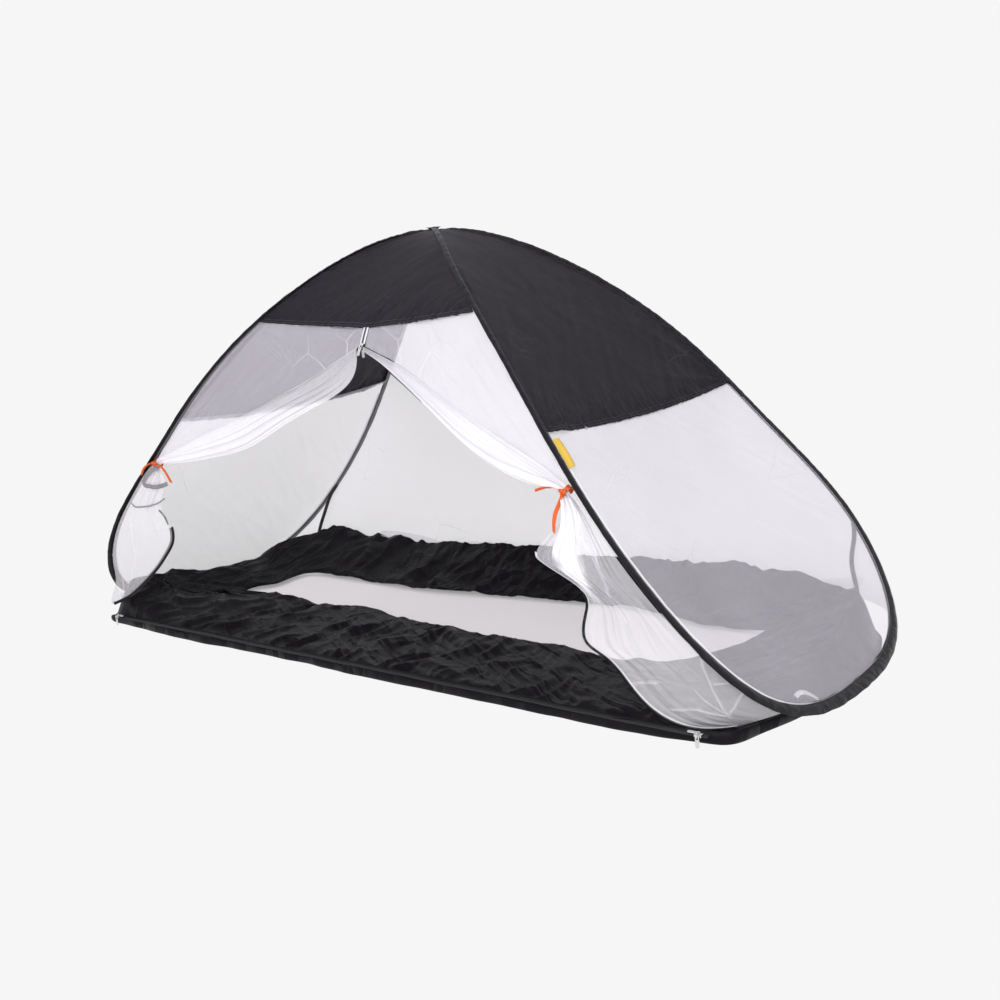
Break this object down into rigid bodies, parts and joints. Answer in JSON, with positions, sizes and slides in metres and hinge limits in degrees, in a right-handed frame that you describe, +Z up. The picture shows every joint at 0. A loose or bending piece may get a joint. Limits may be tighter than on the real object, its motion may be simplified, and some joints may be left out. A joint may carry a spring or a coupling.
{
  "type": "pop-up bed tent",
  "caption": "Pop-up mosquito-net tent for a bed: crossed sprung-wire hoops, black roof, white mesh walls, tied-back zipped door and a floor band to tuck under a mattress.",
  "frame": {"origin": "on the floor, under the middle of the tent", "axes": "+X along the bed towards the right end as seen from the door, +Y from the door to the back, +Z up"},
  "size_m": [2.024, 0.888, 0.9665],
  "materials": {
    "black_cloth": "tightly woven black polyester with a faint sheen",
    "white_mesh": "fine white insect netting, see-through",
    "spring_steel": "bare sprung steel wire",
    "zip_tape": "woven tape with a dark nylon coil",
    "zinc": "satin zinc die casting",
    "orange_ribbon": "matte woven ribbon",
    "yellow_tag": "plain woven tag, nothing printed on it",
    "black_webbing": "flat woven webbing",
    "white_tape": "flat woven tape"
  },
  "bodies": {
    "right_hoop": {"wire_right": "spring_steel", "ferrule_right": "spring_steel", "sleeve_right": "black_cloth", "roof_right": "black_cloth", "mesh_right": "white_mesh", "skirt_right": "black_cloth", "stay_right": "black_webbing", "tie_right": "orange_ribbon", "tie_end_right_a": "orange_ribbon", "tie_end_right_b": "orange_ribbon", "side_tag": "yellow_tag", "inner_tab": "white_tape"},
    "left_hoop": {"wire_left": "spring_steel", "ferrule_left": "spring_steel", "sleeve_left": "black_cloth", "roof_left": "black_cloth", "mesh_left": "white_mesh", "skirt_left": "black_cloth", "stay_left": "black_webbing", "tie_left": "orange_ribbon", "tie_end_left_a": "orange_ribbon", "tie_end_left_b": "orange_ribbon"},
    "canopy": {"apex_crossing": "black_cloth", "roof_front": "black_cloth", "roof_back": "black_cloth", "mesh_back": "white_mesh", "door_mesh_right": "white_mesh", "door_mesh_left": "white_mesh", "flap_swag_right": "white_mesh", "flap_swag_left": "white_mesh", "flap_tail_right": "white_mesh", "flap_tail_left": "white_mesh", "zip_flap_right": "zip_tape", "zip_flap_left": "zip_tape", "skirt_front": "black_cloth", "skirt_back": "black_cloth", "base_rim": "black_cloth", "zip_top": "zip_tape", "zip_base": "zip_tape"},
    "slider_top": {"slider_top": "zinc"},
    "pull_top_outer": {"pull_top_outer": "zinc"},
    "pull_top_inner": {"pull_top_inner": "zinc"},
    "slider_right": {"slider_right": "zinc"},
    "pull_right_top": {"pull_right_top": "zinc"},
    "pull_right_front": {"pull_right_front": "zinc"},
    "slider_left": {"slider_left": "zinc"},
    "pull_left_top": {"pull_left_top": "zinc"},
    "pull_left_front": {"pull_left_front": "zinc"}
  },
  "joints": [
    {"name": "hoop_fold", "type": "hinge", "parent": "right_hoop", "child": "left_hoop", "pos_m": [0, 0, 0.959], "axis": [0, -1, 0], "range_deg": [0, 80], "deforming": ["door_mesh_right", "flap_swag_right", "flap_tail_right", "zip_flap_right", "door_mesh_left", "flap_swag_left", "flap_tail_left", "zip_flap_left", "roof_front", "roof_back", "mesh_back", "skirt_front", "skirt_back", "skirt_right", "skirt_left", "base_rim", "zip_top", "zip_base"]},
    {"name": "canopy_follow", "type": "hinge", "parent": "right_hoop", "child": "canopy", "pos_m": [0, 0, 0.959], "axis": [0, -1, 0], "range_deg": [0, 45]},
    {"name": "slider_top_slide", "type": "slide", "parent": "canopy", "child": "slider_top", "axis": [0, 0.454, 0.891], "range_m": [0, 0.025]},
    {"name": "pull_top_outer_swing", "type": "hinge", "parent": "slider_top", "child": "pull_top_outer", "pos_m": [0, -0.28247, 0.71777], "axis": [-1, 0, 0], "range_deg": [0, 170]},
    {"name": "pull_top_inner_swing", "type": "hinge", "parent": "slider_top", "child": "pull_top_inner", "pos_m": [0, -0.27552, 0.71423], "axis": [1, 0, 0], "range_deg": [-30, 120]},
    {"name": "slider_right_slide", "type": "slide", "parent": "right_hoop", "child": "slider_right", "axis": [-1, 0, 0], "range_m": [0, 0.8]},
    {"name": "pull_right_top_swing", "type": "hinge", "parent": "slider_right", "child": "pull_right_top", "pos_m": [0.862, -0.4133, 0.0297], "axis": [0, 1, 0], "range_deg": [0, 170]},
    {"name": "pull_right_front_swing", "type": "hinge", "parent": "slider_right", "child": "pull_right_front", "pos_m": [0.862, -0.4202, 0.0258], "axis": [-1, 0, 0], "range_deg": [0, 120]},
    {"name": "slider_left_slide", "type": "slide", "parent": "left_hoop", "child": "slider_left", "axis": [1, 0, 0], "range_m": [0, 0.8]},
    {"name": "pull_left_top_swing", "type": "hinge", "parent": "slider_left", "child": "pull_left_top", "pos_m": [-0.862, -0.4133, 0.0297], "axis": [0, -1, 0], "range_deg": [0, 170]},
    {"name": "pull_left_front_swing", "type": "hinge", "parent": "slider_left", "child": "pull_left_front", "pos_m": [-0.862, -0.4202, 0.0258], "axis": [-1, 0, 0], "range_deg": [0, 120]}
  ],
  "couplings": [
    {"joint": "canopy_follow", "follows": "hoop_fold", "ratio": 0.5}
  ]
}
